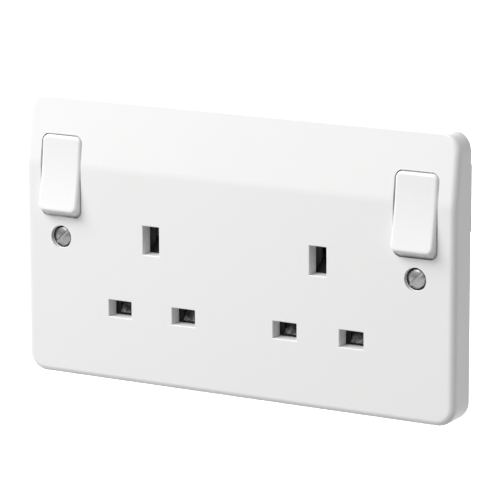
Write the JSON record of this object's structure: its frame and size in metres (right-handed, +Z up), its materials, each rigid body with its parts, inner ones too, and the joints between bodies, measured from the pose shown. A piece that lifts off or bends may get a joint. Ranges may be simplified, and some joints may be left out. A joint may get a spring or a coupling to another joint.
{
  "type": "switched twin wall socket",
  "caption": "White moulded switched twin wall socket with outboard rocker switches, shuttered rectangular pin apertures and slotted fixing screws.",
  "frame": {"origin": "centre of the front plate's rim on the wall plane", "axes": "+X right, +Y into the wall, +Z up; the face looks towards -Y"},
  "size_m": [0.146, 0.031, 0.086],
  "materials": {
    "white_face": "gloss white moulding",
    "inner_moulding": "satin",
    "shutter": "satin dark grey",
    "brass": "pressed sheet",
    "plated_steel": "bright plated",
    "spring_steel": "drawn wire"
  },
  "bodies": {
    "body": {"front_plate": "white_face", "rear_housing": "inner_moulding", "left_shutter_guide": "inner_moulding", "right_shutter_guide": "inner_moulding", "live_feed_strip": "brass", "neutral_strip": "brass", "earth_strip": "brass", "left_switched_strip": "brass", "right_switched_strip": "brass", "left_live_clip": "brass", "left_neutral_clip": "brass", "left_earth_clip": "brass", "right_live_clip": "brass", "right_neutral_clip": "brass", "right_earth_clip": "brass", "left_earth_terminal": "brass", "live_terminal": "brass", "neutral_terminal": "brass", "right_earth_terminal": "brass", "fixing_screws": "plated_steel", "housing_screws": "plated_steel", "terminal_screws": "plated_steel", "left_shutter_spring": "spring_steel", "right_shutter_spring": "spring_steel"},
    "left_rocker": {"left_rocker": "white_face", "left_plunger": "inner_moulding", "left_rocker_spring": "spring_steel"},
    "left_switch_blade": {"left_switch_blade": "brass"},
    "left_shutter": {"left_shutter": "shutter"},
    "right_rocker": {"right_rocker": "white_face", "right_plunger": "inner_moulding", "right_rocker_spring": "spring_steel"},
    "right_switch_blade": {"right_switch_blade": "brass"},
    "right_shutter": {"right_shutter": "shutter"}
  },
  "joints": [
    {"name": "left_rocker_hinge", "type": "hinge", "parent": "body", "child": "left_rocker", "pos_m": [-0.06015, -0.0045, 0.01865], "axis": [1, 0, 0], "range_deg": [0, 16]},
    {"name": "left_blade_hinge", "type": "hinge", "parent": "body", "child": "left_switch_blade", "pos_m": [-0.06015, 0.0099, 0.01865], "axis": [1, 0, 0], "range_deg": [-20, 0]},
    {"name": "left_shutter_slide", "type": "slide", "parent": "body", "child": "left_shutter", "axis": [0, 0, -1], "range_m": [0, 0.0058], "stiffness_N_per_m": 60, "springref_m": -0.004, "deforming": ["left_shutter_spring"]},
    {"name": "right_rocker_hinge", "type": "hinge", "parent": "body", "child": "right_rocker", "pos_m": [0.06015, -0.0045, 0.01865], "axis": [1, 0, 0], "range_deg": [0, 16]},
    {"name": "right_blade_hinge", "type": "hinge", "parent": "body", "child": "right_switch_blade", "pos_m": [0.06015, 0.0099, 0.01865], "axis": [1, 0, 0], "range_deg": [-20, 0]},
    {"name": "right_shutter_slide", "type": "slide", "parent": "body", "child": "right_shutter", "axis": [0, 0, -1], "range_m": [0, 0.0058], "stiffness_N_per_m": 60, "springref_m": -0.004, "deforming": ["right_shutter_spring"]}
  ],
  "couplings": [
    {"joint": "left_blade_hinge", "follows": "left_rocker_hinge", "ratio": -1.25},
    {"joint": "right_blade_hinge", "follows": "right_rocker_hinge", "ratio": -1.25}
  ]
}
